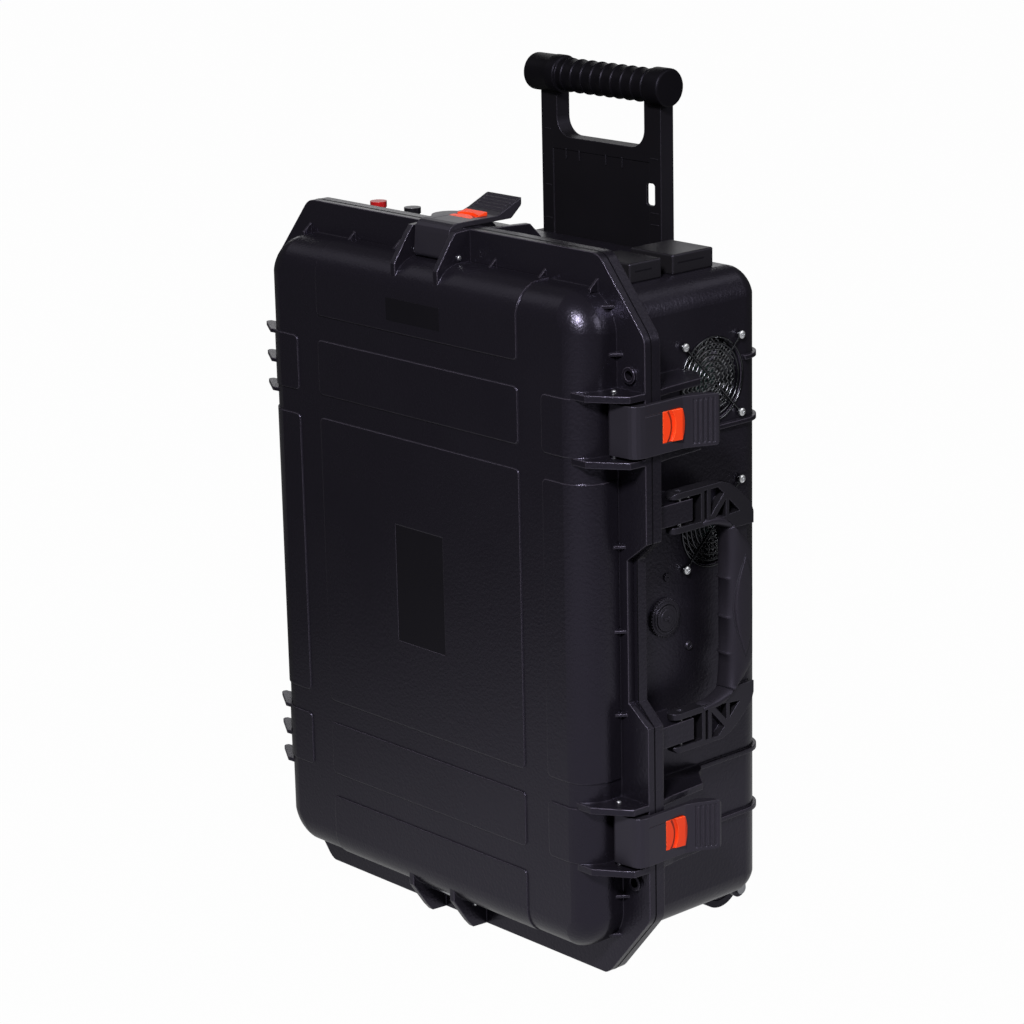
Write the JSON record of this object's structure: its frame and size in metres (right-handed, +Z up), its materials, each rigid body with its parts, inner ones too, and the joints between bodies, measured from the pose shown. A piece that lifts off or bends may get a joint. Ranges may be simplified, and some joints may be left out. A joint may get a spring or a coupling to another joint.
{
  "type": "wheeled equipment case",
  "caption": "Upright hard case with hinged lid, lever latches, folding carry handle, trolley handle, wheels and a fan-cooled side.",
  "frame": {"origin": "on the floor under the middle of the closed case", "axes": "+Z up, +X toward the latch and carry-handle side, -Y toward the lid face"},
  "size_m": [0.5448, 0.2598, 0.8],
  "materials": {
    "case_shell": "fine moulded texture",
    "gasket": "matt",
    "blank_plate": "smooth",
    "steel_pin": "bright",
    "latch_black": "satin",
    "latch_orange": "satin",
    "handle_black": "satin",
    "grip_rubber": "matt",
    "guide_black": "satin",
    "fan_black": "satin",
    "guard_wire": "plated",
    "screw_steel": "plated",
    "fitting_black": "satin",
    "rivet_dark": "dark",
    "cap_red": "gloss",
    "cap_black": "gloss",
    "block_rubber": "matt",
    "wheel_black": "satin",
    "tyre_black": "matt"
  },
  "bodies": {
    "base": {"base_shell": "case_shell", "trolley_guide": "guide_black", "fan_frame_upper": "fan_black", "fan_frame_lower": "fan_black", "fan_guard_upper": "guard_wire", "fan_guard_lower": "guard_wire", "fan_screw_1": "screw_steel", "fan_screw_2": "screw_steel", "fan_screw_3": "screw_steel", "fan_screw_4": "screw_steel", "fan_screw_5": "screw_steel", "fan_screw_6": "screw_steel", "fan_screw_7": "screw_steel", "fan_screw_8": "screw_steel", "valve_body": "fitting_black", "rivet_upper": "rivet_dark", "rivet_lower": "rivet_dark", "switch_body_red": "fitting_black", "switch_body_black": "fitting_black", "round_cap_body": "fitting_black", "top_block_front": "block_rubber", "top_block_rear": "block_rubber", "axle_right": "screw_steel", "axle_left": "screw_steel"},
    "lid": {"lid_shell": "case_shell", "lid_gasket": "gasket", "lid_plate": "blank_plate", "hinge_pin_upper": "steel_pin", "hinge_pin_lower": "steel_pin", "latch_pin_upper": "steel_pin", "latch_pin_lower": "steel_pin", "latch_pin_top": "steel_pin", "latch_pin_bottom": "steel_pin"},
    "lever_upper": {"latch_lever_upper": "latch_black"},
    "lever_lower": {"latch_lever_lower": "latch_black"},
    "lever_top": {"latch_lever_top": "latch_black"},
    "press_upper": {"latch_button_upper": "latch_orange"},
    "press_lower": {"latch_button_lower": "latch_orange"},
    "press_top": {"latch_button_top": "latch_orange"},
    "carry_handle": {"carry_frame": "handle_black", "carry_grip": "grip_rubber", "carry_pin_upper": "steel_pin", "carry_pin_lower": "steel_pin"},
    "trolley": {"trolley_plate": "handle_black", "trolley_bar": "grip_rubber"},
    "rotor_upper": {"fan_rotor_upper": "fan_black"},
    "rotor_lower": {"fan_rotor_lower": "fan_black"},
    "valve_cap": {"valve_knob": "fitting_black"},
    "round_cover": {"round_cap": "cap_black"},
    "red_cap": {"switch_cap_red": "cap_red"},
    "black_cap": {"switch_cap_black": "cap_black"},
    "wheel_r": {"wheel_right": "wheel_black", "tyre_right": "tyre_black"},
    "wheel_l": {"wheel_left": "wheel_black", "tyre_left": "tyre_black"}
  },
  "joints": [
    {"name": "lid_hinge", "type": "hinge", "parent": "base", "child": "lid", "pos_m": [-0.2664, -0.0657, 0.336], "axis": [0, 0, -1], "range_deg": [0, 110]},
    {"name": "lever_upper_pivot", "type": "hinge", "parent": "lid", "child": "lever_upper", "pos_m": [0.2304, -0.1007, 0.5246], "axis": [0, 0, -1], "range_deg": [0, 80]},
    {"name": "lever_lower_pivot", "type": "hinge", "parent": "lid", "child": "lever_lower", "pos_m": [0.2304, -0.1007, 0.1474], "axis": [0, 0, -1], "range_deg": [0, 80]},
    {"name": "lever_top_pivot", "type": "hinge", "parent": "lid", "child": "lever_top", "pos_m": [0, -0.1007, 0.648], "axis": [1, 0, 0], "range_deg": [0, 80]},
    {"name": "press_upper_slide", "type": "slide", "parent": "lever_upper", "child": "press_upper", "axis": [-1, 0, 0], "range_m": [0, 0.002], "stiffness_N_per_m": 900},
    {"name": "press_lower_slide", "type": "slide", "parent": "lever_lower", "child": "press_lower", "axis": [-1, 0, 0], "range_m": [0, 0.002], "stiffness_N_per_m": 900},
    {"name": "press_top_slide", "type": "slide", "parent": "lever_top", "child": "press_top", "axis": [0, 0, -1], "range_m": [0, 0.002], "stiffness_N_per_m": 900},
    {"name": "carry_pivot", "type": "hinge", "parent": "base", "child": "carry_handle", "pos_m": [0.24, -0.0327, 0.336], "axis": [0, 0, -1], "range_deg": [0, 100]},
    {"name": "trolley_slide", "type": "slide", "parent": "base", "child": "trolley", "axis": [0, 0, 1], "range_m": [-0.118, 0.2]},
    {"name": "rotor_upper_spin", "type": "hinge", "parent": "base", "child": "rotor_upper", "pos_m": [0.195, 0.0398, 0.5402], "axis": [1, 0, 0], "continuous": true},
    {"name": "rotor_lower_spin", "type": "hinge", "parent": "base", "child": "rotor_lower", "pos_m": [0.195, 0.0398, 0.4059], "axis": [1, 0, 0], "continuous": true},
    {"name": "valve_turn", "type": "hinge", "parent": "base", "child": "valve_cap", "pos_m": [0.218, -0.0233, 0.3315], "axis": [1, 0, 0], "range_deg": [0, 270]},
    {"name": "round_turn", "type": "hinge", "parent": "base", "child": "round_cover", "pos_m": [-0.072, -0.0187, 0.656], "axis": [0, 0, 1], "range_deg": [0, 90]},
    {"name": "red_press", "type": "slide", "parent": "base", "child": "red_cap", "axis": [0, 0, -1], "range_m": [0, 0.003], "stiffness_N_per_m": 800},
    {"name": "black_press", "type": "slide", "parent": "base", "child": "black_cap", "axis": [0, 0, -1], "range_m": [0, 0.003], "stiffness_N_per_m": 800},
    {"name": "wheel_right_spin", "type": "hinge", "parent": "base", "child": "wheel_r", "pos_m": [0.1495, 0.0993, 0.027], "axis": [1, 0, 0], "continuous": true},
    {"name": "wheel_left_spin", "type": "hinge", "parent": "base", "child": "wheel_l", "pos_m": [-0.1495, 0.0993, 0.027], "axis": [1, 0, 0], "continuous": true}
  ]
}
